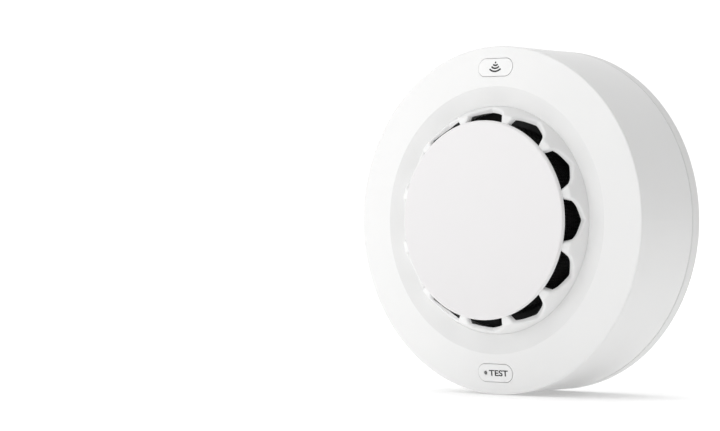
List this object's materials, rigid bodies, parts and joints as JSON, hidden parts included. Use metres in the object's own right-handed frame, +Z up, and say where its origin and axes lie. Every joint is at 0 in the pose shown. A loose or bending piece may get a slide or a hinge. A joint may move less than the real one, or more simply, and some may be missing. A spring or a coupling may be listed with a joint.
{
  "type": "smoke detector",
  "caption": "Round white wall or ceiling smoke detector with a vented front crown, two pill-shaped buttons, a bayonet mounting base and a battery door.",
  "frame": {"origin": "centre of the mounting base's wall side, midway between its screw slots", "axes": "+Y out of the back into the wall, so the front looks along -Y; +Z up past the pairing button with the test button below; +X to the right of someone facing the front"},
  "size_m": [0.118, 0.0433, 0.118],
  "materials": {
    "base_white": "satin moulded, light spark texture",
    "shell_white": "satin moulded, light spark texture",
    "crown_white": "satin moulded",
    "cover_white": "matt moulded",
    "button_white": "satin moulded, printed mark",
    "screw_steel": "zinc plated",
    "board_green": "solder mask over fibreglass",
    "module_black": "solder mask over fibreglass",
    "shield_can": "tinned sheet",
    "chip_black": "moulded epoxy",
    "capacitor_can": "satin can",
    "chamber_black": "matt light trap",
    "screen_black": "blackened woven wire",
    "lens_clear": "clear cast lens",
    "lens_dark": "dark cast lens",
    "sounder_black": "moulded",
    "piezo_brass": "rolled sheet",
    "wire_red": "smooth insulation",
    "wire_black": "smooth insulation",
    "switch_black": "moulded",
    "plunger_white": "moulded",
    "led_clear": "clear cast lens",
    "light_window": "smoked acrylic",
    "cell_wrap": "printed sleeve",
    "contact_nickel": "nickel plated"
  },
  "bodies": {
    "base": {"mounting_base": "base_white"},
    "detector": {"front_housing": "shell_white", "vent_crown": "crown_white", "rear_cover": "cover_white", "case_screws": "screw_steel", "main_pcb": "board_green", "pcb_screws": "screw_steel", "wifi_board": "module_black", "wifi_shield": "shield_can", "pcb_chips": "chip_black", "capacitors": "capacitor_can", "chamber_base": "chamber_black", "chamber_cover": "chamber_black", "insect_screen": "screen_black", "ir_emitter": "lens_clear", "photodiode": "lens_dark", "sounder_housing": "sounder_black", "piezo_disc": "piezo_brass", "sounder_cap": "sounder_black", "sounder_wire_red": "wire_red", "sounder_wire_black": "wire_black", "test_switch": "switch_black", "pairing_switch": "switch_black", "status_led": "led_clear", "battery_a": "cell_wrap", "battery_b": "cell_wrap", "battery_plates": "contact_nickel", "battery_springs": "contact_nickel"},
    "door": {"battery_door": "cover_white"},
    "test_button": {"test_button": "button_white", "led_light_guide": "light_window"},
    "pairing_button": {"pairing_button": "button_white"},
    "test_plunger": {"test_switch_plunger": "plunger_white"},
    "pairing_plunger": {"pairing_switch_plunger": "plunger_white"}
  },
  "joints": [
    {"name": "bayonet_twist", "type": "hinge", "parent": "base", "child": "detector", "pos_m": [0, 0, 0], "axis": [0, -1, 0], "range_deg": [0, 20]},
    {"name": "battery_door_hinge", "type": "hinge", "parent": "detector", "child": "door", "pos_m": [0, -0.006, 0.0302], "axis": [1, 0, 0], "range_deg": [0, 100]},
    {"name": "test_button_press", "type": "slide", "parent": "detector", "child": "test_button", "axis": [0, 1, 0], "range_m": [0, 0.0004], "stiffness_N_per_m": 2500},
    {"name": "pairing_button_press", "type": "slide", "parent": "detector", "child": "pairing_button", "axis": [0, 1, 0], "range_m": [0, 0.0004], "stiffness_N_per_m": 2500},
    {"name": "test_plunger_press", "type": "slide", "parent": "detector", "child": "test_plunger", "axis": [0, 1, 0], "range_m": [0, 0.0004]},
    {"name": "pairing_plunger_press", "type": "slide", "parent": "detector", "child": "pairing_plunger", "axis": [0, 1, 0], "range_m": [0, 0.0004]}
  ],
  "couplings": [
    {"joint": "test_plunger_press", "follows": "test_button_press", "ratio": 1},
    {"joint": "pairing_plunger_press", "follows": "pairing_button_press", "ratio": 1}
  ]
}
